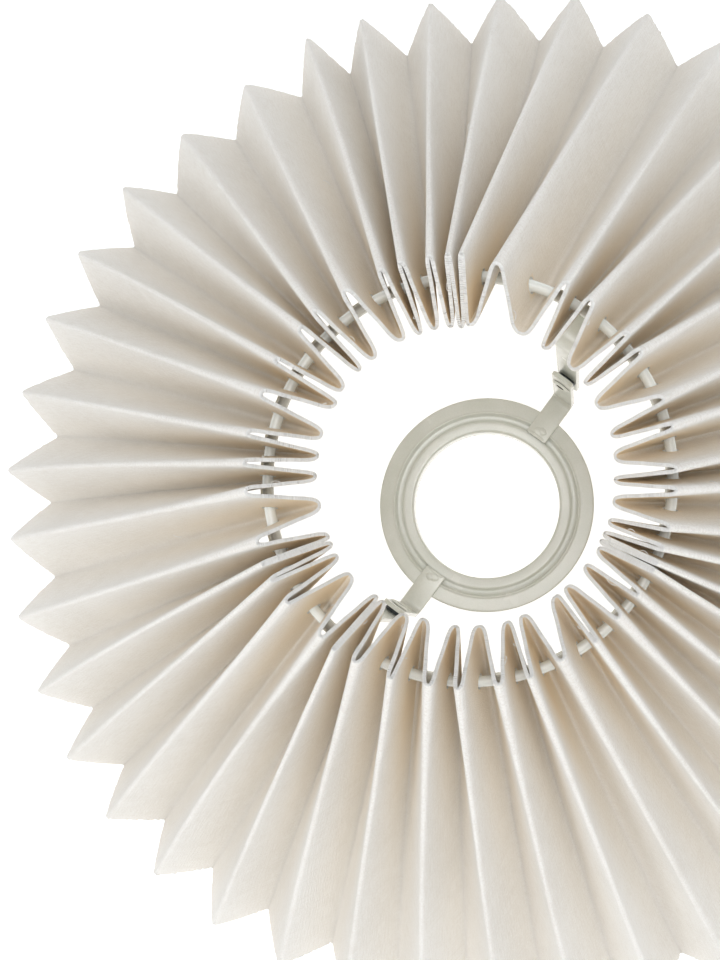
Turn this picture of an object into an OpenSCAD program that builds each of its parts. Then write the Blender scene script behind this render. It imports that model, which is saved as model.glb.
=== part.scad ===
// Pleated cone lamp shade on a wire frame, with a tilting lampholder carrier.
// Millimetres. +Z is up, the shade stands on its wide end at Z = 0,
// the cone's axis is Z and the carrier tilts about a line along X.

/* [Pleated cover] */
// Number of pleats round the cover
pleats = 42; // [36:1:48]
// Width of one panel, from fold to fold
panel_w = 18.2; // [17:0.1:19]
// Length of the folds, from the top edge to the bottom edge
slant_l = 162; // [150:1:175]
// Slope of the folds below the horizontal, in degrees
slope = 45; // [42:1:48]
// Radius of the inner fold tips at the top edge
tip_r = 33.6; // [33:0.1:34.5]
// Thickness of the laminated cloth
cloth_t = 0.8; // [0.5:0.1:1]
// Diameter of the holes punched through the panels
punch_d = 3.8; // [3.2:0.1:4.2]

/* [Wire rings] */
// Wire diameter of the ring threaded through the panels
thread_wire_d = 2.6; // [2.2:0.1:2.8]
// Wire diameter of the lower ring
frame_wire_d = 3.2; // [2.8:0.1:3.4]
// Radius of the ring threaded through the panels, to the wire's centre
thread_ring_r = 46.4; // [46:0.1:47]
// Height of the inner fold tips above the threaded ring
tip_rise = 6.9; // [6.5:0.1:7.2]
// Radius of the lower ring that the folds rest on, to the wire's centre
frame_ring_r = 48.5; // [48:0.1:50]

/* [Lampholder carrier] */
// Diameter of the lampholder hole
socket_d = 42; // [41.5:0.1:42.5]
// Outer diameter of the carrier ring
carrier_d = 61.8; // [60:0.1:64]
// Sheet thickness of the carrier ring
sheet_t = 1; // [0.8:0.1:1.2]
// Depth of the turned-down lip round the lampholder hole
lip_h = 4.6; // [4:0.1:6]
// Drop from the threaded ring to the carrier's flange
carrier_drop = 72.8; // [70:0.1:76]

/* [Tilting joint] */
// Width of the flat strips
strip_w = 6.5; // [6:0.1:7]
// Thickness of the flat strips
strip_t = 1.2; // [1:0.1:1.4]
// Radius of the tab's inner face from the cone's axis
tab_x = 36.8; // [36:0.1:38]
// Height of the tab above the carrier's flange
tab_h = 30; // [29:1:34]
// Height of the tilt axis above the carrier's flange
pivot_rise = 22.5; // [18:0.5:24]
// Diameter of the rivets' shanks
rivet_d = 3.2; // [3:0.1:3.4]
// Diameter of the rivets' heads
rivet_head_d = 5.6; // [5:0.1:6]
// Thickness of the rivets' heads
rivet_head_t = 0.6; // [0.5:0.1:0.8]
// Thickness of the friction washers
washer_t = 1.2; // [1:0.1:1.4]

/* [Hidden] */

cloth_colour = [0.91, 0.88, 0.83];
paint_colour = [0.80, 0.82, 0.77];
rivet_colour = [0.62, 0.63, 0.60];
washer_colour = [0.13, 0.15, 0.18];

// Free play beside a moving face, round a moving bore and under the folds
side_play = 0.1;
bore_play = 0.05;
fold_play = 0.05;
// How far a cutter passes the face it cuts
over = 1;

half_pitch = 180 / pleats;
cloth_half = cloth_t / 2;
// How far the inside corner of each fold is cut back, so that no edge is razor thin
fold_ease = cloth_half * 0.35;
// Length of the punch: through both panels of one pleat and short of the next pleat
punch_l = 4.8;
// Unit vector, in radius and height, that stands square on the folds
lift_r = sin(slope);
lift_z = cos(slope);
foot_z = cloth_half * lift_z;
tip_z = foot_z + slant_l * sin(slope);
levels = 4;

thread_ring_z = tip_z - tip_rise;
fold_gap = frame_wire_d / 2 + cloth_half + fold_play;
frame_ring_z = tip_z - ((frame_ring_r - tip_r) * lift_r + fold_gap) / lift_z;
flange_z = thread_ring_z - carrier_drop;
pivot_z = flange_z + pivot_rise;

washer_x = tab_x + strip_t + side_play;
leg_x = washer_x + washer_t;
head_x = tab_x - side_play;
// Hollow in the rivet's front end
rivet_in_r = 0.95;
rivet_in_l = 3.6;
washer_play = 0.05;
washer_d = rivet_head_d;
// Inside radii of the hanger's and the arm's bends
hanger_bend_r = 4.3;
arm_bend_r = 1.4;
// How far the hanger goes on below the tilt axis, and the arm lies over the carrier ring
leg_below = 9;
arm_lap = 7;
// Radius of the tab's top corners
corner_r = 1.5;

// Distance from the top edge, along the folds, at level i
function along(i) = slant_l * i / (levels - 1);
// Radius and height of the inner fold line at that distance
function fold_r(s) = tip_r + s * cos(slope);
function fold_z(s) = tip_z - s * sin(slope);
// Depth of the pleats there: the panels keep their width as the folds fan out
function near_depth(s) = sqrt(pow(panel_w, 2) - pow(fold_r(s) * sin(half_pitch), 2));
function spread(s) = (fold_r(s) + near_depth(s) * lift_r) * sin(half_pitch);
function depth(s) = sqrt(pow(panel_w, 2) - pow(spread(s), 2));

// A point beside a fold: turn is the fold's azimuth, side runs round the cone, up stands on the folds
function beside(s, turn, side, up) =
    let (r = fold_r(s) + up * lift_r)
    [
        r * cos(turn) - side * sin(turn),
        r * sin(turn) + side * cos(turn),
        fold_z(s) + up * lift_z
    ];

// The eight points of one pleat at one level: its inner fold, then its outer fold
function pleat_points(s, turn) =
    let (
        a = depth(s),
        lean = spread(s) / panel_w,
        rise = a / panel_w,
        mitre = cloth_half / lean,
        next = turn + half_pitch
    )
    [
        beside(s, turn, -cloth_half * rise, cloth_half * lean - fold_ease),
        beside(s, turn, 0, -cloth_half),
        beside(s, turn, cloth_half * rise, cloth_half * lean - fold_ease),
        beside(s, turn, 0, mitre),
        beside(s, next, -cloth_half * rise, a - cloth_half * lean + fold_ease),
        beside(s, next, 0, a + cloth_half),
        beside(s, next, cloth_half * rise, a - cloth_half * lean + fold_ease),
        beside(s, next, 0, a - mitre)
    ];

// Index of point k of pleat p at level i
function at(i, p, k) = (i * pleats + (p % pleats)) * 8 + k;

// Two triangles between the lines of points a and b, from level i to the next
function web(i, pa, a, pb, b) = [
    [at(i, pa, a), at(i, pb, b), at(i + 1, pb, b)],
    [at(i, pa, a), at(i + 1, pb, b), at(i + 1, pa, a)]
];

// Triangles of the cut edge of one pleat at level i
function edge(i, p) = [
    [at(i, p, 3), at(i, p, 0), at(i, p, 1)],
    [at(i, p, 3), at(i, p, 1), at(i, p, 2)],
    [at(i, p, 3), at(i, p, 2), at(i, p, 7)],
    [at(i, p, 3), at(i, p, 7), at(i, p, 4)],
    [at(i, p, 7), at(i, p, 5), at(i, p, 4)],
    [at(i, p, 7), at(i, p, 6), at(i, p, 5)],
    [at(i, p, 7), at(i, p + 1, 0), at(i, p, 6)],
    [at(i, p + 1, 0), at(i, p + 1, 3), at(i, p, 6)]
];

function flipped(faces) = [for (f = faces) [f[0], f[2], f[1]]];

// Pleated cone of stiffened cloth, one closed strip, with a hole through every panel for the ring
module pleated_cover() {
    points = [
        for (i = [0 : levels - 1], p = [0 : pleats - 1])
            each pleat_points(along(i), p * 2 * half_pitch)
    ];
    outside = [
        for (i = [0 : levels - 2], p = [0 : pleats - 1])
            each concat(
                web(i, p, 3, p, 4),
                web(i, p, 4, p, 5),
                web(i, p, 5, p, 6),
                web(i, p, 6, p + 1, 3)
            )
    ];
    inside = [
        for (i = [0 : levels - 2], p = [0 : pleats - 1])
            each concat(
                web(i, p, 0, p, 1),
                web(i, p, 1, p, 2),
                web(i, p, 2, p, 7),
                web(i, p, 7, p + 1, 0)
            )
    ];
    top_edge = [for (p = [0 : pleats - 1]) each edge(0, p)];
    bottom_edge = [for (p = [0 : pleats - 1]) each edge(levels - 1, p)];
    faces = concat(outside, flipped(inside), top_edge, flipped(bottom_edge));
    color(cloth_colour)
        difference() {
            polyhedron(points, faces, convexity = 10);
            for (p = [0 : pleats - 1])
                rotate([0, 0, p * 2 * half_pitch])
                    translate([thread_ring_r, 0, thread_ring_z])
                        rotate([90, 0, 0])
                            cylinder(d = punch_d, h = punch_l, center = true, $fn = 24);
        }
}

module wire_ring(r, z, d) {
    color(paint_colour)
        translate([0, 0, z])
            rotate_extrude($fn = 120)
                translate([r, 0])
                    circle(d = d, $fn = 24);
}

module threading_ring() {
    wire_ring(thread_ring_r, thread_ring_z, thread_wire_d);
}

module frame_ring() {
    wire_ring(frame_ring_r, frame_ring_z, frame_wire_d);
}

// Flat strip from under the lower ring, inwards, and down past the tab
module hanger() {
    shelf_z = frame_ring_z - frame_wire_d / 2;
    shelf_out = frame_ring_r + frame_wire_d / 2;
    leg_foot = pivot_z - leg_below;
    back_x = leg_x + strip_t;
    bend_out_r = hanger_bend_r + strip_t;
    bend_x = leg_x + bend_out_r;
    bend_z = shelf_z - bend_out_r;
    color(paint_colour)
        difference() {
            translate([0, strip_w / 2, 0])
                rotate([90, 0, 0])
                    linear_extrude(strip_w)
                        polygon(concat(
                            [[shelf_out, shelf_z]],
                            [
                                for (a = [90 : 15 : 180])
                                    [bend_x + bend_out_r * cos(a), bend_z + bend_out_r * sin(a)]
                            ],
                            [[leg_x, leg_foot], [back_x, leg_foot]],
                            [
                                for (a = [180 : -15 : 90])
                                    [
                                        bend_x + hanger_bend_r * cos(a),
                                        bend_z + hanger_bend_r * sin(a)
                                    ]
                            ],
                            [[shelf_out, shelf_z - strip_t]]
                        ));
            translate([leg_x - over, 0, pivot_z])
                rotate([0, 90, 0])
                    cylinder(d = rivet_d, h = strip_t + 2 * over, $fn = 48);
        }
}

// Semi-tubular rivet: shank through the tab, washer and hanger, with a head at each end
module pivot_rivet() {
    back_x = leg_x + strip_t;
    color(rivet_colour)
        translate([0, 0, pivot_z])
            rotate([0, 90, 0])
                difference() {
                    union() {
                        translate([0, 0, head_x - rivet_head_t])
                            cylinder(d = rivet_head_d, h = rivet_head_t, $fn = 48);
                        translate([0, 0, head_x - rivet_head_t])
                            cylinder(d = rivet_d, h = back_x - head_x + 2 * rivet_head_t, $fn = 48);
                        translate([0, 0, back_x])
                            cylinder(d = rivet_head_d, h = rivet_head_t, $fn = 48);
                    }
                    translate([0, 0, head_x - rivet_head_t - over])
                        cylinder(r = rivet_in_r, h = rivet_in_l + over, $fn = 48);
                }
}

// Friction washer between the tab and the hanger
module friction_washer() {
    color(washer_colour)
        translate([washer_x, 0, pivot_z])
            rotate([0, 90, 0])
                difference() {
                    cylinder(d = washer_d, h = washer_t, $fn = 48);
                    translate([0, 0, -over])
                        cylinder(d = rivet_d + 2 * washer_play, h = washer_t + 2 * over, $fn = 48);
                }
}

// Flat strip welded on the carrier ring's flange, bent up into the tab that turns on the rivet
module carrier_arm() {
    inner_x = carrier_d / 2 - arm_lap;
    bend_x = tab_x - arm_bend_r;
    bend_z = flange_z + strip_t + arm_bend_r;
    tab_top = flange_z + tab_h;
    color(paint_colour)
        difference() {
            union() {
                translate([inner_x, -strip_w / 2, flange_z])
                    cube([bend_x - inner_x, strip_w, strip_t]);
                translate([bend_x, strip_w / 2, bend_z])
                    rotate([90, 0, 0])
                        rotate([0, 0, -90])
                            linear_extrude(strip_w)
                                intersection() {
                                    difference() {
                                        circle(r = arm_bend_r + strip_t, $fn = 64);
                                        circle(r = arm_bend_r, $fn = 64);
                                    }
                                    square(arm_bend_r + strip_t);
                                }
                translate([tab_x, -strip_w / 2, bend_z])
                    cube([strip_t, strip_w, tab_top - corner_r - bend_z]);
                translate([tab_x, corner_r - strip_w / 2, tab_top - corner_r])
                    cube([strip_t, strip_w - 2 * corner_r, corner_r]);
                for (side = [-1, 1])
                    translate([tab_x, side * (strip_w / 2 - corner_r), tab_top - corner_r])
                        rotate([0, 90, 0])
                            cylinder(r = corner_r, h = strip_t, $fn = 48);
            }
            translate([tab_x - over, 0, pivot_z])
                rotate([0, 90, 0])
                    cylinder(d = rivet_d + 2 * bore_play, h = strip_t + 2 * over, $fn = 48);
        }
}

// Pressed steel ring: flat flange, stepped groove, raised seat and a lip turned down round the hole
module carrier_ring() {
    hole_r = socket_d / 2;
    out_r = carrier_d / 2;
    seat_out = hole_r + 2.9;
    groove_in = hole_r + 3.5;
    groove_out = hole_r + 4.9;
    flange_in = hole_r + 5.6;
    groove_drop = 1.3;
    seat_drop = 0.6;
    round_r = 0.8;
    // The pressing's underside follows its top a little inside each slope
    groove_ease = 0.2;
    flange_ease = 0.3;
    color(paint_colour)
        translate([0, 0, flange_z])
            rotate_extrude($fn = 120)
                polygon(concat(
                    [
                        [out_r, 0],
                        [flange_in, 0],
                        [groove_out, -groove_drop],
                        [groove_in, -groove_drop],
                        [seat_out, -seat_drop]
                    ],
                    [
                        for (a = [90 : 15 : 180])
                            [hole_r + round_r + round_r * cos(a), -seat_drop - round_r + round_r * sin(a)]
                    ],
                    [
                        [hole_r, -lip_h - seat_drop],
                        [hole_r + sheet_t, -lip_h - seat_drop],
                        [hole_r + sheet_t, -seat_drop - sheet_t],
                        [seat_out, -seat_drop - sheet_t],
                        [groove_in - groove_ease, -groove_drop - sheet_t],
                        [groove_out + groove_ease, -groove_drop - sheet_t],
                        [flange_in + flange_ease, -sheet_t],
                        [out_r, -sheet_t]
                    ]
                ));
}

module turned() {
    rotate([0, 0, 180])
        children();
}

module hanger_left() {
    turned() hanger();
}

module hanger_right() {
    hanger();
}

module pivot_rivet_left() {
    turned() pivot_rivet();
}

module pivot_rivet_right() {
    pivot_rivet();
}

module friction_washer_left() {
    turned() friction_washer();
}

module friction_washer_right() {
    friction_washer();
}

module carrier_arm_left() {
    turned() carrier_arm();
}

module carrier_arm_right() {
    carrier_arm();
}

pleated_cover();
threading_ring();
frame_ring();
hanger_left();
hanger_right();
pivot_rivet_left();
pivot_rivet_right();
friction_washer_left();
friction_washer_right();
carrier_arm_left();
carrier_arm_right();
carrier_ring();
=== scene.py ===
import math
import random
from types import SimpleNamespace

import bpy
import numpy as np
from mathutils import Matrix, Vector


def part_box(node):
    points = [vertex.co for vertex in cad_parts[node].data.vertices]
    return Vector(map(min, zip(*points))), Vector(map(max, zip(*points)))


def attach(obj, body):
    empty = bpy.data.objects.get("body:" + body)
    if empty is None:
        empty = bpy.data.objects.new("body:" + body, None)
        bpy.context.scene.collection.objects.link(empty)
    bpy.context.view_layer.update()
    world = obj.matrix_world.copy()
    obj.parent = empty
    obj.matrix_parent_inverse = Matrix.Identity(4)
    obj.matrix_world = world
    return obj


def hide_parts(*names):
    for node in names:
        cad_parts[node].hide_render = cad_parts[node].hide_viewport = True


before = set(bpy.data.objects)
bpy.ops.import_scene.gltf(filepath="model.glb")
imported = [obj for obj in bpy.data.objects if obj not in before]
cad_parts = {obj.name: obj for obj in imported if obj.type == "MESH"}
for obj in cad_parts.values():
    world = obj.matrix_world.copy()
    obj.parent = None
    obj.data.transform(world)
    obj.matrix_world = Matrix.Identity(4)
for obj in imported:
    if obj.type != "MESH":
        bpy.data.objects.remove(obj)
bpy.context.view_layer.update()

MM = 0.001
SEED = 7

# ---- sizes of the part, in millimetres ----
# They are those of the CAD, apart from the cloth's thickness, the strips' corners, the rivet's hollow and
# the washer's hole, which are drawn a little differently.
PLEATS = 42
PANEL_W = 18.2
SLANT_L = 162.0
SLOPE = math.radians(45)
# Distance of the inner folds' upper ends from the axis
TIP_R = 33.6
# A little thicker than in the CAD, for the loose fibres on both faces
CLOTH_T = 0.86
LIFT_R, LIFT_Z = math.sin(SLOPE), math.cos(SLOPE)
RING_R, RING_WIRE_D = 46.4, 2.6
# How far those ends are above the middle of the threaded ring
TIP_RISE = 6.9
FRAME_WIRE_D = 3.2
STRIP_W, STRIP_T = 6.5, 1.2
PUNCH_D = 3.8
HOLE_R = 21.0
# How far an arm lies over the carrier ring, and how high its tab stands above it
ARM_LAP, TAB_H = 7.0, 30.0
# Outside radius of the hanger's bend, and how far the hanger goes on below the tilt axis
HANGER_BEND_R, LEG_BELOW = 5.5, 9.0
# Inside radius of the arm's bend, and the radii of the strips' edges and corners
ARM_BEND_R, STRIP_EDGE_R, STRIP_CORNER_R = 1.4, 0.28, 0.5
ARM_CORNER_R, HANGER_CORNER_R = 1.6, 1.0
RIVET_HEAD_R, RIVET_SHANK_R, RIVET_HOLLOW_R, RIVET_HOLLOW_L = 2.8, 1.6, 1.15, 1.8
WASHER_HOLE_R = 1.65
SIDE_PLAY = 0.1

ring_low, ring_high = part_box("threading_ring")
RING_Z = (ring_low.z + ring_high.z) / 2 / MM
TIP_Z = RING_Z + TIP_RISE
frame_low, frame_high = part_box("frame_ring")
FRAME_R = (frame_high.x - frame_low.x) / 2 / MM - FRAME_WIRE_D / 2
FRAME_Z = (frame_low.z + frame_high.z) / 2 / MM
carrier_low, carrier_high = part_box("carrier_ring")
FLANGE_Z = carrier_high.z / MM
CARRIER_R = (carrier_high.x - carrier_low.x) / 2 / MM
washer_low, washer_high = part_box("friction_washer_right")
PIVOT_Z = (washer_low.z + washer_high.z) / 2 / MM
WASHER_X, LEG_X = washer_low.x / MM, washer_high.x / MM
WASHER_D = (washer_high.z - washer_low.z) / MM


# ---- helpers ----
def add_object(name, mesh, materials, body, nodes):
    """A visible piece that rides on a body and stands for the given CAD nodes."""
    obj = bpy.data.objects.new(name, mesh)
    bpy.context.scene.collection.objects.link(obj)
    for m in materials:
        mesh.materials.append(m)
    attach(obj, body)
    if nodes:
        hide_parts(*nodes)
    return obj


def mesh_from(name, points, faces, sharp=35):
    """A smooth-shaded mesh from points in millimetres."""
    mesh = bpy.data.meshes.new(name)
    mesh.from_pydata([tuple(c * MM for c in p) for p in points], [], faces)
    mesh.validate()
    mesh.polygons.foreach_set("use_smooth", [True] * len(mesh.polygons))
    mesh.set_sharp_from_angle(angle=math.radians(sharp))
    mesh.update()
    return mesh


def skin_faces(rings, closed, base):
    """Faces over rings of points, whose first point has the number base."""
    n, count = len(rings[0]), len(rings)
    faces = []
    for i in range(count if closed else count - 1):
        a, b = base + i * n, base + (i + 1) % count * n
        faces += [(a + k, a + (k + 1) % n, b + (k + 1) % n, b + k) for k in range(n)]
    if not closed:
        faces.append(tuple(reversed(range(base, base + n))))
        faces.append(tuple(range(base + (count - 1) * n, base + count * n)))
    return faces


def lofts(name, skins, closed, sharp=35):
    """One mesh of several skins, each over its own rings of points, all in the same order.

    closed joins the last ring to the first, and otherwise both ends are capped.
    """
    points, faces = [], []
    for rings in skins:
        faces += skin_faces(rings, closed, len(points))
        points += [p for ring in rings for p in ring]
    return mesh_from(name, points, faces, sharp)


def loft(name, rings, closed, sharp=35):
    """One mesh over one set of rings."""
    return lofts(name, [rings], closed, sharp)


def rounded(outline, radius, steps):
    """A closed outline with each corner replaced by a short curve."""
    out = []
    for i, corner in enumerate(outline):
        before, after = Vector(outline[i - 1]), Vector(outline[(i + 1) % len(outline)])
        corner = Vector(corner)
        reach = [min(radius, (p - corner).length * 0.45) for p in (before, after)]
        start = corner + (before - corner).normalized() * reach[0]
        end = corner + (after - corner).normalized() * reach[1]
        for k in range(steps + 1):
            t = k / steps
            out.append(tuple(start * (1 - t) ** 2 + corner * 2 * t * (1 - t) + end * t**2))
    return out


def revolve(name, outline, steps, sharp):
    """Turns a closed outline of (radius, height) about Z."""
    rings = []
    for i in range(steps):
        a = 2 * math.pi * i / steps
        rings.append([(r * math.cos(a), r * math.sin(a), z) for r, z in outline])
    return loft(name, rings, True, sharp)


def circle(cx, cz, r, n):
    """Points of a circle of (x, z)."""
    return [
        (cx + r * math.cos(2 * math.pi * k / n), cz + r * math.sin(2 * math.pi * k / n))
        for k in range(n)
    ]


def strip(name, path, half_width, turned):
    """A flat strip whose middle follows a path of (x, z).

    half_width gives half its width at a distance along it.
    """
    pts = [Vector(p) for p in path]
    run = [0.0]
    for a, b in zip(pts, pts[1:]):
        run.append(run[-1] + (b - a).length)
    rings = []
    for i, p in enumerate(pts):
        along = (pts[min(i + 1, len(pts) - 1)] - pts[max(i - 1, 0)]).normalized()
        side = Vector((-along.y, along.x))
        w, h = half_width(run[i], run[-1]), STRIP_T / 2
        section = rounded([(-w, -h), (w, -h), (w, h), (-w, h)], STRIP_EDGE_R, 3)
        ring = []
        for y, n in section:
            q = p + side * n
            ring.append((q.x, y, q.y))
        rings.append(ring)
    if turned:
        rings = [[(-x, -y, z) for x, y, z in ring] for ring in rings]
    return loft(name, rings, False, 40)


def arc(cx, cz, r, start, end, steps):
    """Points of an arc of (x, z) between two angles in degrees."""
    turns = [math.radians(start + (end - start) * k / steps) for k in range(steps + 1)]
    return [(cx + r * math.cos(a), cz + r * math.sin(a)) for a in turns]


def line(a, b, steps):
    """Points of a straight path of (x, z) from a to b."""
    return [
        (a[0] + (b[0] - a[0]) * k / steps, a[1] + (b[1] - a[1]) * k / steps)
        for k in range(steps + 1)
    ]


def joined(*parts):
    """Paths end to end, without the points that fall together."""
    out = []
    for part in parts:
        for p in part:
            if not out or math.dist(p, out[-1]) > 1e-4:
                out.append(p)
    return out


# ---- materials ----
class Nodes:
    """Short names for building a material's nodes."""

    def __init__(self, name):
        self.material = bpy.data.materials.new(name)
        self.material.use_nodes = True
        self.tree = self.material.node_tree
        self.shader = self.tree.nodes["Principled BSDF"]

    def node(self, kind, **settings):
        n = self.tree.nodes.new(kind)
        for key, value in settings.items():
            setattr(n, key, value)
        return n

    def link(self, a, b):
        self.tree.links.new(a, b)

    def value(self, socket, v):
        if isinstance(v, (int, float, tuple)):
            socket.default_value = v
        else:
            self.link(v, socket)

    def math(self, op, a, b=0.0, clamp=False):
        n = self.node("ShaderNodeMath", operation=op, use_clamp=clamp)
        self.value(n.inputs[0], a)
        self.value(n.inputs[1], b)
        return n.outputs[0]

    def scaled(self, vector, scale):
        n = self.node("ShaderNodeVectorMath", operation="MULTIPLY")
        self.link(vector, n.inputs[0])
        n.inputs[1].default_value = scale
        return n.outputs[0]

    def noise(self, vector, scale, detail, rough=0.5):
        n = self.node("ShaderNodeTexNoise")
        self.link(vector, n.inputs["Vector"])
        n.inputs["Scale"].default_value = scale
        n.inputs["Detail"].default_value = detail
        n.inputs["Roughness"].default_value = rough
        return n.outputs["Fac"]

    def ramp(self, fac, *stops):
        n = self.node("ShaderNodeValToRGB")
        self.link(fac, n.inputs["Fac"])
        band = n.color_ramp
        while len(band.elements) < len(stops):
            band.elements.new(0.5)
        for element, (place, colour) in zip(band.elements, stops):
            element.position = place
            element.color = (*colour, 1)
        return n.outputs["Color"]

    def mix(self, fac, a, b):
        n = self.node("ShaderNodeMix", data_type="RGBA")
        self.value(n.inputs["Factor"], fac)
        for socket, v in ((n.inputs[6], a), (n.inputs[7], b)):
            self.value(socket, (*v, 1) if isinstance(v, tuple) else v)
        return n.outputs[2]

    def bump(self, height, distance):
        n = self.node("ShaderNodeBump")
        n.inputs["Strength"].default_value = 1.0
        n.inputs["Distance"].default_value = distance
        self.link(height, n.inputs["Height"])
        self.link(n.outputs["Normal"], self.shader.inputs["Normal"])


# Spacing of the weave's threads in millimetres, and height of its relief in metres
THREAD_PITCH = 0.5
CLOTH_RELIEF = 0.0002
# Warm brown that the cloth is mixed towards as painted shade in its folds and round its holes
PAINTED_SHADE_TINT = (1.0, 0.82, 0.57)
FLECK_COLOUR = (0.42, 0.30, 0.19)


def cloth_material(name, light, dark, fuzz, shade_strength):
    """Plain-woven cotton: threads both ways, slubs, slow tone changes and a few brown flecks.

    The points' own attribute gives the place on the flat strip and how much painted shade the cloth gets
    there; the painted shade turns the cloth a warm brown in its folds.
    """
    m = Nodes(name)
    where = m.node("ShaderNodeAttribute", attribute_name="cloth").outputs["Vector"]
    split = m.node("ShaderNodeSeparateXYZ")
    m.link(where, split.inputs[0])
    wander = m.noise(m.scaled(where, (0.35, 0.35, 0)), 1.0, 3.0)
    pitch = 2 * math.pi / THREAD_PITCH
    weft = m.math("MULTIPLY", split.outputs["X"], pitch)
    warp = m.math("MULTIPLY", split.outputs["Y"], pitch)
    weft = m.math("SINE", m.math("ADD", weft, m.math("MULTIPLY", wander, 9.0)))
    warp = m.math("SINE", m.math("ADD", warp, m.math("MULTIPLY", wander, -9.0)))
    weave = m.math("MULTIPLY", weft, warp)
    slub_x = m.noise(m.scaled(where, (0.12, 2.6, 0)), 1.0, 3.0, 0.6)
    slub_y = m.noise(m.scaled(where, (2.6, 0.12, 0)), 1.0, 3.0, 0.6)
    slub = m.math("MULTIPLY", slub_x, slub_y)
    grain = m.noise(m.scaled(where, (2.2, 1.5, 0)), 1.0, 3.0, 0.8)
    tone = m.noise(m.scaled(where, (0.03, 0.015, 0)), 1.0, 3.0)
    height = m.math("ADD", m.math("MULTIPLY", weave, 0.25), m.math("MULTIPLY", slub, 2.6))
    height = m.math("ADD", height, m.math("MULTIPLY", grain, 1.4))
    blend = m.math("ADD", m.math("MULTIPLY", grain, 0.9), m.math("MULTIPLY", slub, 1.0))
    blend = m.math("ADD", blend, m.math("MULTIPLY", tone, 0.35))
    colour = m.ramp(blend, (0.74, dark), (0.97, light))
    # Painted shade: the colour is mixed towards a warm brown as far as the points' mask, swayed by the slow
    # tone noise, says
    shade_mask = m.math("MULTIPLY", split.outputs["Z"], m.math("ADD", tone, 0.4), clamp=True)
    shade_mask = m.math("MULTIPLY", shade_mask, shade_strength)
    colour = m.mix(shade_mask, colour, PAINTED_SHADE_TINT)
    fleck = m.noise(m.scaled(where, (0.23, 0.23, 0)), 1.0, 5.0, 0.75)
    fleck_mask = m.ramp(fleck, (0.775, (0, 0, 0)), (0.81, (1, 1, 1)))
    colour = m.mix(fleck_mask, colour, FLECK_COLOUR)
    m.link(colour, m.shader.inputs["Base Color"])
    m.bump(height, CLOTH_RELIEF * fuzz)
    m.shader.inputs["Roughness"].default_value = 0.92
    m.shader.inputs["Sheen Weight"].default_value = 0.12
    m.shader.inputs["Sheen Roughness"].default_value = 0.5
    m.shader.inputs["Specular IOR Level"].default_value = 0.25
    return m.material


def metal_material(name, light, dark, rough, grain_scale, relief, coat):
    """A smooth stoved paint or plastic: slight unevenness, a little dust and a soft orange-peel surface."""
    m = Nodes(name)
    where = m.node("ShaderNodeTexCoord").outputs["Object"]
    patch = m.noise(where, 90.0, 3.0)
    peel = m.noise(where, grain_scale, 2.0, 0.4)
    dust = m.noise(where, 2600.0, 4.0, 0.7)
    fac = m.math("ADD", m.math("MULTIPLY", patch, 0.6), m.math("MULTIPLY", dust, 0.4))
    colour = m.ramp(fac, (0.38, dark), (0.62, light))
    m.link(colour, m.shader.inputs["Base Color"])
    span = m.math("MULTIPLY", patch, 0.16)
    m.link(m.math("ADD", span, rough - 0.08), m.shader.inputs["Roughness"])
    m.shader.inputs["Coat Weight"].default_value = coat
    m.shader.inputs["Coat Roughness"].default_value = 0.18
    m.bump(peel, relief)
    return m.material


# The last number is how strong the painted shade in the folds is: full on the cloth's faces, slight on its
# cut edges
cloth = cloth_material("cover_cotton", (1.0, 0.975, 0.93), (0.89, 0.85, 0.79), 1.0, 1.15)
cut_edge = cloth_material("cover_cut_edge", (0.97, 0.96, 0.94), (0.90, 0.885, 0.85), 1.6, 0.1)
paint = metal_material(
    "painted_steel", (0.87, 0.89, 0.84), (0.79, 0.82, 0.75), 0.25, 520.0, 0.00005, 0.5
)
ring_paint = metal_material(
    "painted_wire", (0.93, 0.96, 0.94), (0.88, 0.91, 0.88), 0.26, 900.0, 0.00002, 0.5
)
washer_plastic = metal_material(
    "washer_plastic", (0.055, 0.075, 0.09), (0.02, 0.028, 0.035), 0.38, 1200.0, 0.00002, 0.0
)
# Near-black brown painted shade for the faces inside the rivets' hollows
rivet_hollow_shade = metal_material(
    "rivet_hollow_shade", (0.05, 0.035, 0.025), (0.02, 0.015, 0.012), 0.7, 900.0, 0.00002, 0.0
)

# ---- pleated cover ----
# How the pleats bunch on the ring, anticlockwise from START_TURN, in degrees: the gap from each inner
# fold to the next, and how far the outer fold between them leans past their middle
GAPS = [9, 8, 13, 9, 8, 13, 10, 20, 3, 4, 6, 6, 7, 13, 7, 10, 6, 13, 8, 8, 11]
GAPS += [13, 3, 5, 9, 13, 3, 10, 7, 13, 9, 11, 6, 15, 5, 11, 8, 3, 3, 5, 8, 8]
LEANS = [-3, 0, -3, 0, -3, 0, -4, 1, -1, -1, -1, 1, 0, 1, 1, -2, 1, 1, 2, 2, 0]
LEANS += [2, 0, 1, 1, 3, 0, 0, 2, 2, -1, 0, 0, -1, -1, 0, -2, 0, -1, -1, -2, 0]
START_TURN = -55.0
FOOT_TURN = -45.1
# How much of the bunching at the ring is left at the foot
FOOT_DRIFT = 0.12
# Along its foot the cover is nearly even, apart from one stretch that is pulled back
PULL_TURN, PULL_WIDTH, PULL = 69.0, 11.0, -2.4
# Sideways slip of the cover at its foot and at its top, from the frame's axis
FOOT_SLIP = np.array([5.2, -1.25])
TOP_SLIP = np.array([-0.94, -2.28])
# Height at which the cover has ridden all the way up the lower ring
LIFT_FULL_Z = 90.0
# Share of a panel beside an outer fold over which it bends, and how far the panels bulge out at the foot
PEAK_SOFT = 0.055
BULGE = 0.5
# How much farther from the axis the outer folds start, and how far a pleat may open, as a share of
# lying flat
PEAK_OUT = 12.6
WIDEST = 0.9
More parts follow.
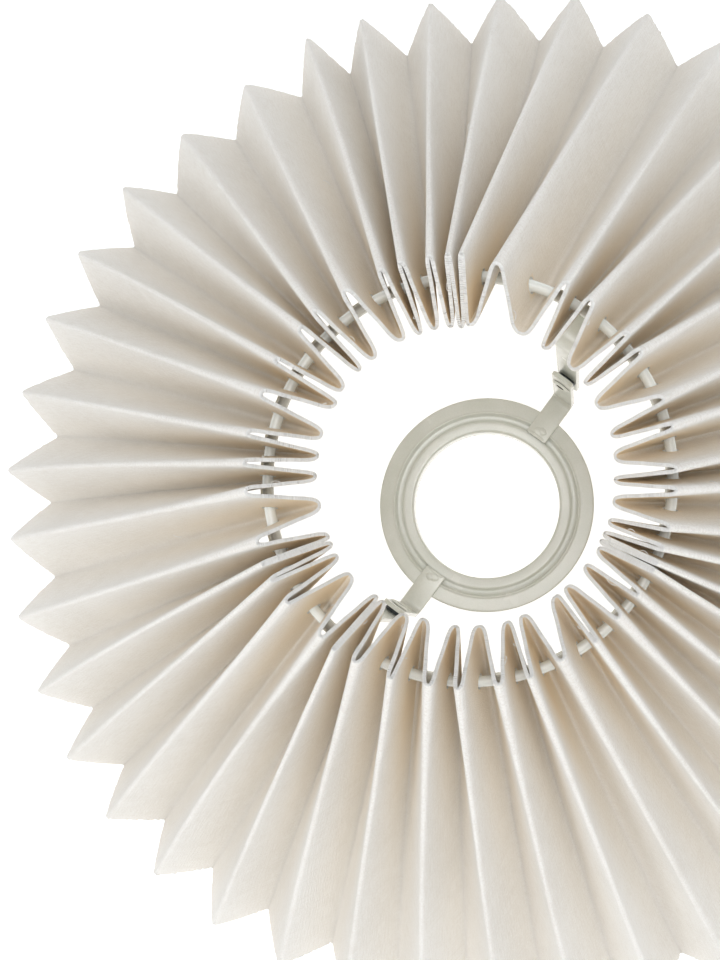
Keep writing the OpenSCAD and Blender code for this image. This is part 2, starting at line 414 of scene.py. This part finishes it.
# How much the cut edges fray at the foot and at the top
FRAY, TOP_FRAY = 0.22, 0.05

rng = np.random.default_rng(SEED)
step = 360.0 / PLEATS
valley_top = START_TURN + np.concatenate([[0.0], np.cumsum(GAPS)[:-1]])
regular = FOOT_TURN + step * np.arange(PLEATS)
drift = valley_top - regular
drift = FOOT_DRIFT * (drift - drift.mean())


def foot_pull(turn):
    """How far the foot is pulled back along the rim, in degrees."""
    return PULL * np.exp(-(((turn - PULL_TURN) / PULL_WIDTH) ** 2))


valley_foot = regular + drift + foot_pull(regular) + rng.normal(0, 0.3, PLEATS)
valley_lift = rng.normal(0, 0.28, PLEATS)


def next_fold(values):
    """The same azimuths from the next fold on."""
    return np.append(values[1:], values[0] + 360.0)


peak_top = (valley_top + next_fold(valley_top)) / 2 + np.array(LEANS)
peak_foot = (valley_foot + next_fold(valley_foot)) / 2 + rng.normal(0, 0.3, PLEATS)
bow = rng.normal(0, 0.35, 2 * PLEATS)
sway = rng.normal(0, 0.35, (2, PLEATS))
soft = rng.uniform(0.12, 0.24, PLEATS)

peak_top, peak_foot = np.radians(peak_top), np.radians(peak_foot)
valley_top, valley_foot = np.radians(valley_top), np.radians(valley_foot)


def settle(p):
    """Moves points to where the cover has slipped to on its frame, riding up the lower ring."""
    x, y, z = p[..., 0], p[..., 1], p[..., 2]
    high = np.clip(z / TIP_Z, 0, 1.15)[..., None]
    slip = FOOT_SLIP * (1 - high) + TOP_SLIP * high
    far = np.linalg.norm(slip, axis=-1)
    r = np.maximum(np.hypot(x, y), 1e-6)
    toward = (x * slip[..., 0] + y * slip[..., 1]) / (r * np.maximum(far, 1e-6))
    climb = np.clip(z / LIFT_FULL_Z, 0, 1)
    lift = far * (1 - toward) / 2 * climb * climb * (3 - 2 * climb)
    return np.stack([x + slip[..., 0], y + slip[..., 1], z + lift], -1)


def on_cone(s, up, turn):
    """The point at distance s down the folds' cone, up off it and at azimuth turn."""
    r = TIP_R + s * math.cos(SLOPE) + up * LIFT_R
    z = TIP_Z - s * math.sin(SLOPE) + up * LIFT_Z
    return np.stack([r * np.cos(turn), r * np.sin(turn), z], -1)


def fold_turn(top, foot, s, extra):
    """Azimuth of a fold that runs straight from its top to its foot."""
    left = 1 - s / SLANT_L
    start = TIP_R + extra
    return foot + (top - foot) * start * left / (start + s * math.cos(SLOPE))


def valley_soft(valley, s):
    """Share of the panel beside an inner fold over which the cloth bends."""
    return 0.07 + soft[valley] * (1 - np.exp(-s / 30.0)) * (1 - np.clip(s / SLANT_L, 0, 1) ** 6)


def rise(t, a, b):
    """0 to 1 as t goes from 0 to 1, starting and ending level over shares a and b."""
    total = 1 - a / 2 - b / 2
    y = np.where(t < a, t * t / (2 * a), t - a / 2)
    return np.where(t > 1 - b, total - (1 - t) ** 2 / (2 * b), y) / total


def rise_back(y, a, b):
    """The t that rise() takes to y."""
    total = 1 - a / 2 - b / 2
    y = y * total
    low = np.sqrt(np.maximum(2 * a * y, 0))
    high = 1 - np.sqrt(np.maximum(2 * b * (total - y), 0))
    return np.where(y < a / 2, low, np.where(y > total - b / 2, high, y + a / 2))


def swell(t, at):
    """A bulge that starts at 0, is nearly 1 at its top and is gone at t = 1."""
    return t / at * np.exp(1 - t / at) - t / at * math.exp(1 - 1 / at)


def panel_frame(panel, s):
    """Where each panel stands at distance s down the folds.

    fold is the point on its inner fold. up and across are unit vectors, up off the cone and across to its
    outer fold, and reach_up and reach are how far the outer fold is along them. valley is the inner
    fold's number, and lift is how far that fold is lifted.
    """
    peak = panel // 2
    valley = np.where(panel % 2 == 0, peak, peak + 1)
    wrap = np.where(valley >= PLEATS, 2 * math.pi, 0.0)
    valley = valley % PLEATS
    after = (peak + 1) % PLEATS
    after_wrap = np.where(peak + 1 >= PLEATS, 2 * math.pi, 0.0)
    a0 = fold_turn(valley_top[peak], valley_foot[peak], s, 0.0)
    a1 = fold_turn(valley_top[after] + after_wrap, valley_foot[after] + after_wrap, s, 0.0)
    half = (a1 - a0) / 2
    r = TIP_R + s * math.cos(SLOPE)
    near = np.sqrt(PANEL_W**2 - (r * np.sin(half)) ** 2)
    spread = (r + near * LIFT_R) * np.sin(half)
    depth = np.sqrt(PANEL_W**2 - np.minimum(spread, PANEL_W * WIDEST) ** 2)
    wave = np.sin(math.pi * s / SLANT_L) / r
    at_valley = fold_turn(valley_top[valley] + wrap, valley_foot[valley] + wrap, s, 0.0)
    at_valley = at_valley + sway[0, valley] * wave
    at_peak = fold_turn(peak_top[peak], peak_foot[peak], s, PEAK_OUT) + sway[1, peak] * wave
    lift = valley_lift[valley] * np.exp(-s / 40.0)
    fold = on_cone(s, lift, at_valley)
    mean = (at_valley + at_peak) / 2
    up = np.stack([LIFT_R * np.cos(mean), LIFT_R * np.sin(mean), LIFT_Z + 0 * mean], -1)
    to_peak = on_cone(s, depth, at_peak) - fold
    reach_up = (to_peak * up).sum(-1)
    across = to_peak - up * reach_up[..., None]
    reach = np.linalg.norm(across, axis=-1)
    across = across / reach[..., None]
    return SimpleNamespace(
        fold=fold, up=up, across=across, reach=reach, reach_up=reach_up, valley=valley, lift=lift
    )


def middle(panel, t, s):
    """The cloth's middle surface, in millimetres. t goes from the inner fold, 0, to the outer fold, 1."""
    place = panel_frame(panel, s)
    belly = np.clip(0.14 * place.reach + 0.2, 0.2, 0.95) * np.exp(-s / 32.0)
    nose = np.clip(0.18 * place.reach, 0.15, 0.6) * np.exp(-s / 26.0)
    side = place.reach * t + belly * swell(t, 0.14) - nose * swell(1 - t, 0.10)
    side = side + bow[panel] * np.sin(math.pi * t) * np.sin(math.pi * s / SLANT_L)
    y = rise(t, valley_soft(place.valley, s), PEAK_SOFT)
    out = place.reach_up * y + BULGE * np.sin(math.pi * t) * s / SLANT_L
    return settle(place.fold + place.across * side[..., None] + place.up * out[..., None])


def cloth_points(panel, t, s, out):
    """Points at a distance out from the middle surface, and the way down the cloth there."""
    dt, ds = 0.002, 0.05
    ta, tb = np.maximum(t - dt, 0), np.minimum(t + dt, 1)
    sa, sb = np.maximum(s - ds, 0), np.minimum(s + ds, SLANT_L)
    along = middle(panel, tb, s) - middle(panel, ta, s)
    along = along * np.where(panel % 2 == 0, 1.0, -1.0)[..., None]
    down = middle(panel, t, sb) - middle(panel, t, sa)
    normal = np.cross(down, along)
    normal /= np.linalg.norm(normal, axis=-1)[..., None]
    points = middle(panel, t, s) + normal * np.asarray(out)[..., None]
    return points, down / np.linalg.norm(down, axis=-1)[..., None]


# Where the ring passes through the panels: down the folds and up off their cone
HOLE_S = (TIP_RISE + RING_R - TIP_R) * math.sin(SLOPE)
HOLE_UP = (RING_R - TIP_R - TIP_RISE) * math.sin(SLOPE)
# The cloth's grid across a panel, as shares from its inner fold, and down the folds: finer at the
# creases, at the cut edges and round the holes
T_STOPS = np.array(
    [0, 0.008, 0.025, 0.05, 0.08, 0.11, 0.158, 0.206, 0.254, 0.302, 0.35, 0.40]
    + [0.47, 0.55, 0.63, 0.71, 0.79, 0.86, 0.91, 0.945, 0.97, 0.988, 1.0]
)
S_STOPS = np.array(
    [0, 0.5, 1.4, 3, 5, 7.2, 9.3, 11.2, 12.1, 13.0, 13.9, 14.8, 15.7, 16.7, 18.5, 21, 24]
    + [28, 33, 39, 46, 54, 63, 73, 84, 96, 108, 120, 131, 141, 149, 155, 159, 161, 162.0]
)
# First and last lines of the grid round a hole, across the panel and down the folds
HOLE_COLS, HOLE_ROWS = (5, 11), (7, 13)
CELLS = len(T_STOPS) - 1
COLUMNS, ROWS = 2 * PLEATS * CELLS, len(S_STOPS)
# How far the lip of a cut edge stands out, and the numbers of the cover's two materials
LIP = 0.16
FACE, CUT = 0, 1
# How much painted shade the cloth gets round the rim of a punched hole
HOLE_PAINTED_SHADE = 0.8


class ClothSkin:
    """The cover's points, their places on the flat strip, its faces and their materials."""

    def __init__(self):
        self.points, self.places, self.faces, self.kinds = [], [], [], []
        self.count = 0

    def add_points(self, points, places):
        """Adds points and gives the number of the first."""
        first = self.count
        self.points.append(points.reshape(-1, 3))
        self.places.append(places.reshape(-1, 3))
        self.count += len(self.points[-1])
        return first

    def add_faces(self, faces, kind):
        self.faces += faces
        self.kinds += [kind] * len(faces)

    def mesh(self, name):
        xyz = np.concatenate(self.points)
        # The frayed foot stays just off the floor
        xyz[:, 2] = np.maximum(xyz[:, 2], 0.1)
        mesh = bpy.data.meshes.new(name)
        mesh.from_pydata((xyz * MM).tolist(), [], self.faces)
        mesh.polygons.foreach_set("material_index", self.kinds)
        mesh.polygons.foreach_set("use_smooth", [True] * len(self.faces))
        mesh.set_sharp_from_angle(angle=math.radians(50))
        attribute = mesh.attributes.new("cloth", "FLOAT_VECTOR", "POINT")
        attribute.data.foreach_set("vector", np.concatenate(self.places).astype(np.float32).ravel())
        mesh.update()
        return mesh


def strip_place(panel, t, s, shade_mask):
    """The place on the flat strip, in millimetres along and down, and how much painted shade the cloth gets.
    """
    x = (panel + np.where(panel % 2 == 0, t, 1 - t)) * PANEL_W
    return np.stack(np.broadcast_arrays(x, s, shade_mask), -1)


def grid_point(i, c, side):
    """Number of the point in row i and column c of the grid, on the outer face, 0, or the inner, 1."""
    return (side * ROWS + i) * COLUMNS + c % COLUMNS


def add_panels(skin):
    """Both faces of the cloth, but for the squares round the holes, and then its two cut edges."""
    column = np.arange(COLUMNS)
    panel = column // CELLS
    k = np.where(panel % 2 == 0, column % CELLS, CELLS - column % CELLS)
    shape = (ROWS, COLUMNS)
    panels, t = np.broadcast_to(panel, shape), np.broadcast_to(T_STOPS[k], shape)
    s = np.broadcast_to(S_STOPS[:, None], shape).copy()
    s[-1] += np.random.default_rng(SEED + 1).normal(0, FRAY, COLUMNS)
    s[0] += np.abs(np.random.default_rng(SEED + 2).normal(0, TOP_FRAY, COLUMNS))
    # Painted shade mask: strongest beside the inner folds, fading down the cover, and stronger in narrow
    # pleats
    shade_mask = np.clip(1.8 * (1 - t) - 0.12, 0, 1) * np.exp(-s / 90.0)
    shade_mask = shade_mask * np.clip(2.8 / panel_frame(panels, s).reach, 0.4, 1.0)
    places = strip_place(panels, t, s, shade_mask)
    front, down = cloth_points(panels, t, s, np.full(shape, CLOTH_T / 2))
    back, _ = cloth_points(panels, t, s, np.full(shape, -CLOTH_T / 2))
    skin.add_points(front, places)
    skin.add_points(back, places)

    at = grid_point
    in_hole = (k >= HOLE_COLS[0]) & (k <= HOLE_COLS[1])
    for c in range(COLUMNS):
        n = (c + 1) % COLUMNS
        over_hole = in_hole[c] and in_hole[n] and panel[c] == panel[n]
        for i in range(ROWS - 1):
            if over_hole and HOLE_ROWS[0] <= i < HOLE_ROWS[1]:
                continue
            outer = (at(i, c, 0), at(i + 1, c, 0), at(i + 1, n, 0), at(i, n, 0))
            inner = (at(i, c, 1), at(i, n, 1), at(i + 1, n, 1), at(i + 1, c, 1))
            skin.add_faces([outer, inner], FACE)

    for i, out in ((0, -LIP), (ROWS - 1, LIP)):
        lip = skin.add_points((front[i] + back[i]) / 2 + down[i] * out, places[i])
        for c in range(COLUMNS):
            n = (c + 1) % COLUMNS
            quads = [
                (at(i, c, 0), at(i, n, 0), lip + n, lip + c),
                (lip + c, lip + n, at(i, n, 1), at(i, c, 1)),
            ]
            skin.add_faces(quads if i == 0 else [q[::-1] for q in quads], CUT)


def hole_loop():
    """The grid's points round a hole, as rows and lines across the panel."""
    (left, right), (top_row, low_row) = HOLE_COLS, HOLE_ROWS
    loop = [(i, left) for i in range(top_row, low_row)]
    loop += [(low_row, c) for c in range(left, right)]
    loop += [(i, right) for i in range(low_row, top_row, -1)]
    return loop + [(top_row, c) for c in range(right, left, -1)]


def add_hole(skin, panel):
    """A punched hole for the ring: the cloth between the grid and its rim, and the rim's cut edge."""
    even = panel % 2 == 0
    loop = hole_loop()
    size = len(loop)
    row = np.array([i for i, _ in loop])
    k = np.array([c if even else sum(HOLE_COLS) - c for _, c in loop])
    column = panel * CELLS + (k if even else CELLS - k)

    # The rim's points lie the same way round the wire as the grid's points
    panels = np.full(size, panel)
    s, t = S_STOPS[row], T_STOPS[k]
    place = panel_frame(panels, s)
    up = place.reach_up * rise(t, valley_soft(place.valley, s), PEAK_SOFT) + place.lift
    turn = np.arctan2(s - HOLE_S, up - HOLE_UP)
    s = HOLE_S + PUNCH_D / 2 * np.sin(turn)
    up = HOLE_UP + PUNCH_D / 2 * np.cos(turn)
    place = panel_frame(panels, s)
    t = rise_back((up - place.lift) / place.reach_up, valley_soft(place.valley, s), PEAK_SOFT)

    places = strip_place(panels, t, s, HOLE_PAINTED_SHADE)
    sides = [cloth_points(panels, t, s, np.full(size, out))[0] for out in (CLOTH_T / 2, -CLOTH_T / 2)]
    front, back = [skin.add_points(points, places) for points in sides]
    for a in range(size):
        b = (a + 1) % size
        front_a, front_b = (grid_point(row[q], column[q], 0) for q in (a, b))
        back_a, back_b = (grid_point(row[q], column[q], 1) for q in (a, b))
        outer = (front_a, front_b, front + b, front + a)
        inner = (back_a, back + a, back + b, back_b)
        skin.add_faces([outer, inner], FACE)
        skin.add_faces([(front + a, front + b, back + b, back + a)], CUT)


def build_cover():
    """The whole strip as one closed skin: both faces, the cut edges and the punched holes."""
    skin = ClothSkin()
    add_panels(skin)
    for panel in range(2 * PLEATS):
        add_hole(skin, panel)
    return skin.mesh("cover_cloth")


cover = add_object(
    "cover_cloth", build_cover(), [cloth, cut_edge], "shade", ["pleated_cover"]
)


# ---- wire rings ----
def wire_ring(name, r, z, d, settled, nodes, material):
    """A round wire of diameter d bent into a ring. A settled one has slipped sideways with the cover."""
    steps = 240
    rings = []
    for i in range(steps):
        a = 2 * math.pi * i / steps
        ring = [(q * math.cos(a), q * math.sin(a), h) for q, h in circle(r, z, d / 2, 20)]
        if settled:
            centre = np.array([[r * math.cos(a), r * math.sin(a), z]])
            shift = (settle(centre) - centre)[0]
            ring = [tuple(np.array(p) + shift) for p in ring]
        rings.append(ring)
    return add_object(name, loft(name, rings, True), [material], "shade", nodes)


wire_ring("threaded_wire", RING_R, RING_Z, RING_WIRE_D, True, ["threading_ring"], ring_paint)
wire_ring("lower_wire", FRAME_R, FRAME_Z, FRAME_WIRE_D, False, ["frame_ring"], paint)


# ---- tilting carrier ----
def carrier_ring_mesh():
    """The pressed ring: flat flange, groove, raised seat and a lip turned down round the hole."""
    hole, z = HOLE_R, FLANGE_Z
    outline = [
        (CARRIER_R, z - 0.12),
        (CARRIER_R - 0.35, z),
        (hole + 6.0, z - 0.05),
        (hole + 5.75, z + 0.16),
        (hole + 5.4, z + 0.16),
        (hole + 4.9, z - 1.2),
        (hole + 3.6, z - 1.3),
        (hole + 3.1, z - 0.55),
        (hole + 2.7, z - 0.48),
        (hole + 0.5, z - 0.6),
        (hole, z - 0.95),
        (hole, z - 5.2),
        (hole + 1.0, z - 5.2),
        (hole + 1.0, z - 1.6),
        (hole + 2.9, z - 1.6),
        (hole + 3.3, z - 2.3),
        (hole + 5.1, z - 2.3),
        (hole + 5.9, z - 1.0),
        (CARRIER_R, z - 1.0),
    ]
    return revolve("carrier_ring_pressing", rounded(outline[::-1], 0.3, 4), 192, 60)


add_object(
    "carrier_ring_pressing",
    carrier_ring_mesh(),
    [paint],
    "carrier",
    ["carrier_ring"],
)

TAB_X = WASHER_X - SIDE_PLAY - STRIP_T
TAB_TOP = FLANGE_Z + TAB_H


def strip_width(end_corner):
    """Half a strip's width along it: small corners at its start, and of radius end_corner at its end."""

    def half_width(run, total):
        half = STRIP_W / 2
        for from_end, r in ((run, STRIP_CORNER_R), (total - run, end_corner)):
            if from_end < r:
                half = min(half, STRIP_W / 2 - r + math.sqrt(max(r * r - (r - from_end) ** 2, 0)))
        return half

    return half_width


def arm_path():
    """From the flange outwards and up into the tab. The points are close together at both ends."""
    mid = STRIP_T / 2
    r = ARM_BEND_R + mid
    z0 = FLANGE_Z + mid
    x0 = CARRIER_R - ARM_LAP
    x1 = TAB_X + mid
    ends = [x0 + d for d in (0, 0.1, 0.3, 0.5)]
    tops = [TAB_TOP - d for d in (1.6, 1.2, 0.8, 0.45, 0.2, 0.05, 0)]
    return joined(
        [(x, z0) for x in ends],
        line((x0 + 0.8, z0), (x1 - r, z0), 10),
        arc(x1 - r, z0 + r, r, -90, 0, 10),
        line((x1, z0 + r), (x1, TAB_TOP - 2), 14),
        [(x1, z) for z in tops],
    )


def hanger_path():
    """From under the lower ring inwards and down past the tilt axis."""
    mid = STRIP_T / 2
    r = HANGER_BEND_R - mid
    x1 = LEG_X + mid
    z0 = FRAME_Z - FRAME_WIRE_D / 2 - mid
    foot = PIVOT_Z - LEG_BELOW
    out = FRAME_R + FRAME_WIRE_D / 2
    return joined(
        [(out, z0), (out - 0.15, z0), (out - 0.5, z0)],
        line((out - 0.8, z0), (x1 + r, z0), 4),
        arc(x1 + r, z0 - r, r, 90, 180, 12),
        line((x1, z0 - r), (x1, foot + 1.2), 12),
        [(x1, foot + d) for d in (0.8, 0.5, 0.25, 0.1, 0)],
    )


def rivet_mesh(turned):
    """Semi-tubular rivet about X, with a rolled rim round its hollow and a low dome at the back."""
    head, shank, hollow = RIVET_HEAD_R, RIVET_SHANK_R, RIVET_HOLLOW_R
    x0 = TAB_X - SIDE_PLAY
    x1 = LEG_X + STRIP_T
    outline = [
        (hollow, x0 + RIVET_HOLLOW_L),
        (0.01, x0 + RIVET_HOLLOW_L),
        (0.01, x1 + 0.75),
        (1.2, x1 + 0.7),
        (2.2, x1 + 0.45),
        (head, x1 + 0.1),
        (head, x1),
        (shank, x1),
        (shank, x0),
        (head, x0),
        (head, x0 - 0.15),
        (2.2, x0 - 0.5),
        (1.7, x0 - 0.6),
        (hollow, x0 - 0.5),
    ]
    rings = []
    steps = 48
    sign = -1 if turned else 1
    for i in range(steps):
        a = 2 * math.pi * i / steps
        ring = []
        for r, x in rounded(outline[::-1], 0.18, 3):
            y, z = r * math.cos(a), r * math.sin(a)
            ring.append((sign * x, sign * y, PIVOT_Z + z))
        rings.append(ring)
    mesh = loft("rivet", rings, True, 45)
    # The faces inside the hollow get the painted shade
    for face in mesh.polygons:
        spot = face.center / MM
        near_axis = math.hypot(spot.y, spot.z - PIVOT_Z) < hollow + 0.1
        in_hollow = near_axis and abs(spot.x) < x0 + RIVET_HOLLOW_L + 0.1
        face.material_index = 1 if in_hollow else 0
    return mesh


def washer_mesh(turned):
    """A flat ring about X between the tab and the hanger."""
    hole, rim = WASHER_HOLE_R, WASHER_D / 2
    section = [(hole, WASHER_X), (rim, WASHER_X), (rim, LEG_X), (hole, LEG_X)]
    outline = rounded(section, 0.15, 3)
    rings = []
    sign = -1 if turned else 1
    for i in range(48):
        a = 2 * math.pi * i / 48
        rings.append(
            [(sign * x, sign * r * math.cos(a), PIVOT_Z + r * math.sin(a)) for r, x in outline]
        )
    return loft("washer", rings, True, 45)


for side, turned in (("right", False), ("left", True)):
    add_object(
        f"arm_{side}",
        strip(f"arm_{side}", arm_path(), strip_width(ARM_CORNER_R), turned),
        [paint],
        "carrier",
        [f"carrier_arm_{side}"],
    )
    add_object(
        f"hanger_strip_{side}",
        strip(f"hanger_strip_{side}", hanger_path(), strip_width(HANGER_CORNER_R), turned),
        [paint],
        "shade",
        [f"hanger_{side}"],
    )
    add_object(
        f"rivet_{side}",
        rivet_mesh(turned),
        [paint, rivet_hollow_shade],
        "shade",
        [f"pivot_rivet_{side}"],
    )
    add_object(
        f"washer_{side}",
        washer_mesh(turned),
        [washer_plastic],
        "shade",
        [f"friction_washer_{side}"],
    )


# Outline of a spot's bead: its height and its width at that height, as shares
BEAD = ((0, 1.0), (0.25, 0.92), (0.65, 0.74), (0.92, 0.5), (1.0, 0.2))


def weld_mesh(turned):
    """Two flattened spots that weld the arm's end on the ring, and the bead squeezed out."""
    beads = []
    z = FLANGE_Z + STRIP_T - 0.05
    inner = CARRIER_R - ARM_LAP
    sign = -1 if turned else 1
    # Each spot: its centre, its half length and half width, and its height
    spots = [(inner + 1.7, 0.4, 1.3, 1.7, 0.22), (inner + 2.3, -0.6, 1.1, 1.5, 0.3)]
    spots += [(inner + 0.45, 0.1, 0.5, 2.9, 0.3)]
    for cx, cy, a, b, h in spots:
        rings = []
        for lift, spread in BEAD:
            ring = []
            for k in range(24):
                t = 2 * math.pi * k / 24
                wobble = 1 + 0.06 * math.sin(4 * t + cx) + 0.05 * math.sin(7 * t + cy)
                x = cx + a * spread * wobble * math.cos(t)
                y = cy + b * spread * wobble * math.sin(t)
                ring.append((sign * x, sign * y, z + h * lift))
            rings.append(ring)
        beads.append(rings)
    return lofts("weld_spots", beads, False, 60)


for side, turned in (("right", False), ("left", True)):
    add_object(f"weld_spots_{side}", weld_mesh(turned), [paint], "carrier", [])


# ---- loose thread ends ----
THREADS, THREAD_R = 26, 0.09


def thread_tube(path, r):
    """Rings of points round a path in millimetres, thinner at both ends."""
    pts = [Vector(p) for p in path]
    rings = []
    for i, p in enumerate(pts):
        along = (pts[min(i + 1, len(pts) - 1)] - pts[max(i - 1, 0)]).normalized()
        side = along.orthogonal().normalized()
        other = along.cross(side)
        thin = r * (0.5 if i in (0, len(pts) - 1) else 1.0)
        turns = [2 * math.pi * k / 6 for k in range(6)]
        rings.append([tuple(p + (side * math.cos(b) + other * math.sin(b)) * thin) for b in turns])
    return rings


def build_threads():
    """Loose ends of thread that stand off the panels, most of them at the top edge."""
    draw = random.Random(SEED)
    tubes = []
    for _ in range(THREADS):
        panel = draw.randrange(2 * PLEATS)
        at_top = draw.random() < 0.6
        s = draw.uniform(0.3, 1.2) if at_top else draw.uniform(6, SLANT_L - 4)
        t = draw.uniform(0.1, 0.9)
        length = draw.uniform(1.2, 3.2)
        heading = draw.uniform(0, 2 * math.pi)
        curl = draw.uniform(-0.9, 0.9)
        path = []
        for k in range(8):
            f = k / 7
            a = heading + curl * f
            tt = min(max(t + math.cos(a) * length * f / PANEL_W, 0.03), 0.97)
            ss = min(max(s + math.sin(a) * length * f, 0.1), SLANT_L - 0.2)
            out = CLOTH_T / 2 + 0.08 + 0.35 * math.sin(math.pi * f)
            p, _ = cloth_points(np.array([panel]), np.array([tt]), np.array([ss]), [out])
            path.append(tuple(p[0]))
        tubes.append(thread_tube(path, THREAD_R))
    return lofts("thread_ends", tubes, False)


threads = add_object("thread_ends", build_threads(), [cut_edge], "shade", [])

# ---- floor, lights and camera ----
centre = (ring_low + ring_high) / 2

FLOOR_HALF = 6.0
floor_corners = [(x * FLOOR_HALF, y * FLOOR_HALF, 0) for x, y in ((-1, -1), (1, -1), (1, 1), (-1, 1))]
floor_mesh = bpy.data.meshes.new("floor")
floor_mesh.from_pydata(floor_corners, [], [(0, 1, 2, 3)])
floor = bpy.data.objects.new("floor", floor_mesh)
bpy.context.scene.collection.objects.link(floor)
pale = Nodes("floor_pale")
pale.shader.inputs["Base Color"].default_value = (0.92, 0.92, 0.92, 1)
pale.shader.inputs["Roughness"].default_value = 0.9
pale.shader.inputs["Emission Color"].default_value = (1, 1, 1, 1)
pale.shader.inputs["Emission Strength"].default_value = 0.7
floor_mesh.materials.append(pale.material)

world = bpy.data.worlds.new("studio")
world.use_nodes = True
background = world.node_tree.nodes["Background"]
background.inputs["Color"].default_value = (0.965, 0.985, 1.0, 1)
background.inputs["Strength"].default_value = 0.58
bpy.context.scene.world = world


def area_light(name, azimuth, elevation, distance, size, power, colour):
    """A round light that faces the ring, at angles in degrees and sizes in metres."""
    data = bpy.data.lights.new(name, "AREA")
    data.shape = "DISK"
    data.size = size
    data.energy = power
    data.color = colour
    light = bpy.data.objects.new(name, data)
    bpy.context.scene.collection.objects.link(light)
    a, e = math.radians(azimuth), math.radians(elevation)
    back = Vector((math.cos(a) * math.cos(e), math.sin(a) * math.cos(e), math.sin(e)))
    light.location = centre + back * distance
    light.rotation_mode = "QUATERNION"
    light.rotation_quaternion = (-back).to_track_quat("-Z", "Y")


# The key lights the sides of the pleats and the side light fills them. The last two show the enamel's gloss.
area_light("key", 170, 38, 1.3, 0.6, 2.6, (0.99, 0.99, 0.985))
area_light("side", 245, 50, 1.4, 1.0, 2.7, (0.98, 0.985, 0.99))
area_light("top", -70, 82, 1.4, 0.45, 3.8, (0.98, 0.99, 1.0))
area_light("gloss", 112, 81, 1.4, 0.3, 1.2, (1.0, 1.0, 1.0))

# The camera hangs over the ring and looks almost straight down
CAMERA_FROM_RING = Vector((-14.27, -44.3, 286.6)) * MM
AIM_FROM_RING = Vector((-21.04, -19.34, 0)) * MM
UP_AZIMUTH = 36.69
camera_data = bpy.data.cameras.new("camera")
camera_data.sensor_width = 36
camera_data.lens = 47.16
camera_data.shift_x = -0.12
camera_data.shift_y = 0.12
camera_data.clip_start = 0.01
camera_data.clip_end = 20
camera = bpy.data.objects.new("camera", camera_data)
bpy.context.scene.collection.objects.link(camera)
bpy.context.scene.camera = camera
forward = (AIM_FROM_RING - CAMERA_FROM_RING).normalized()
heading = math.radians(UP_AZIMUTH)
right = forward.cross(Vector((math.cos(heading), math.sin(heading), 0))).normalized()
top = right.cross(forward)
turned_to = Matrix((right, top, -forward)).transposed().to_4x4()
camera.matrix_world = Matrix.Translation(centre + CAMERA_FROM_RING) @ turned_to

bpy.context.scene.view_settings.view_transform = "Standard"
